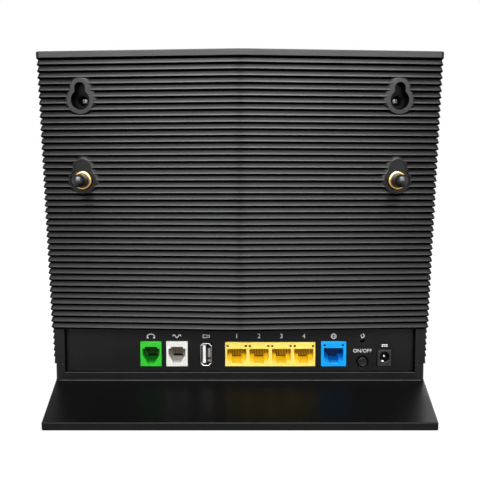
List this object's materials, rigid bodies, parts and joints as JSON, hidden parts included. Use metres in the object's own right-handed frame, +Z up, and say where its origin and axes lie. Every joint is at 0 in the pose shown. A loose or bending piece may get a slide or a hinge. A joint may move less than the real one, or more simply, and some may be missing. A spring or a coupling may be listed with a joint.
{
  "type": "upright wireless router",
  "caption": "Upright router with a ribbed folded rear face, wall keyholes, a recessed port panel and a flat foot plate that reaches out behind.",
  "frame": {"origin": "middle of the underside, on the surface that the rubber feet stand on", "axes": "+Z up, -Y towards the side with the ports, +X to the right of someone facing the ports"},
  "size_m": [0.237, 0.1194, 0.2024],
  "materials": {
    "housing": "black moulded plastic, fine grain",
    "foot": "black moulded plastic, fine grain",
    "panel": "black moulded plastic, nearly smooth",
    "button": "black moulded plastic, satin",
    "rubber": "soft black rubber",
    "stud": "polished black plastic",
    "jack_green": "green moulded plastic",
    "jack_white": "off-white moulded plastic",
    "jack_yellow": "yellow moulded plastic",
    "jack_blue": "blue moulded plastic",
    "jack_black": "black moulded plastic",
    "brass": "turned and polished",
    "steel": "plated steel",
    "aluminium": "plain aluminium",
    "board": "green solder resist",
    "chip": "black moulding compound",
    "thermal": "soft grey pad",
    "clear": "clear moulded plastic",
    "ribbon": "white film",
    "tongue": "white moulded plastic"
  },
  "bodies": {
    "router": {"rear_cover": "housing", "front_cover": "housing", "base_tub": "housing", "foot_plate": "foot", "port_panel": "panel", "rubber_foot_tail_left": "rubber", "rubber_foot_front_left": "rubber", "rubber_foot_tail_right": "rubber", "rubber_foot_front_right": "rubber", "standoff_stud_left": "stud", "standoff_stud_right": "stud", "standoff_bush_left": "brass", "standoff_bush_right": "brass", "antenna_1": "brass", "antenna_2": "brass", "antenna_3": "brass", "antenna_4": "brass", "cover_screw_left": "steel", "cover_screw_right": "steel", "base_screw_rear_left": "steel", "base_screw_front_left": "steel", "base_screw_rear_right": "steel", "base_screw_front_right": "steel", "usb_shell": "steel", "power_jack_pin": "steel", "reset_switch": "steel", "shield_low": "steel", "shield_high": "steel", "phone_jack": "jack_green", "dsl_jack": "jack_white", "lan_jack_block": "jack_yellow", "dsl_transformer": "jack_yellow", "wan_jack": "jack_blue", "power_jack": "jack_black", "usb_tongue": "tongue", "port_board": "board", "logic_board": "board", "riser_board": "board", "power_switch": "chip", "pairing_switch": "chip", "main_chip": "chip", "memory_chip": "chip", "lan_transformer": "chip", "wan_transformer": "chip", "power_inductor": "chip", "antenna_lead_1": "chip", "antenna_lead_2": "chip", "antenna_lead_3": "chip", "antenna_lead_4": "chip", "thermal_pad": "thermal", "heat_sink": "aluminium", "capacitor_1": "aluminium", "capacitor_2": "aluminium", "light_guide": "clear", "ribbon_cable": "ribbon", "ribbon_socket_low": "ribbon", "ribbon_socket_high": "ribbon"},
    "power_button": {"power_button": "button"},
    "reset_key": {"reset_key": "chip"},
    "pairing_key": {"pairing_key": "button"}
  },
  "joints": [
    {"name": "power_press", "type": "slide", "parent": "router", "child": "power_button", "axis": [0, 1, 0], "range_m": [0, 0.002], "stiffness_N_per_m": 400},
    {"name": "reset_press", "type": "slide", "parent": "router", "child": "reset_key", "axis": [0, 1, 0], "range_m": [0, 0.0004], "stiffness_N_per_m": 1000},
    {"name": "pairing_press", "type": "slide", "parent": "router", "child": "pairing_key", "axis": [0, -0.9856, -0.1688], "range_m": [0, 0.0008], "stiffness_N_per_m": 800}
  ]
}
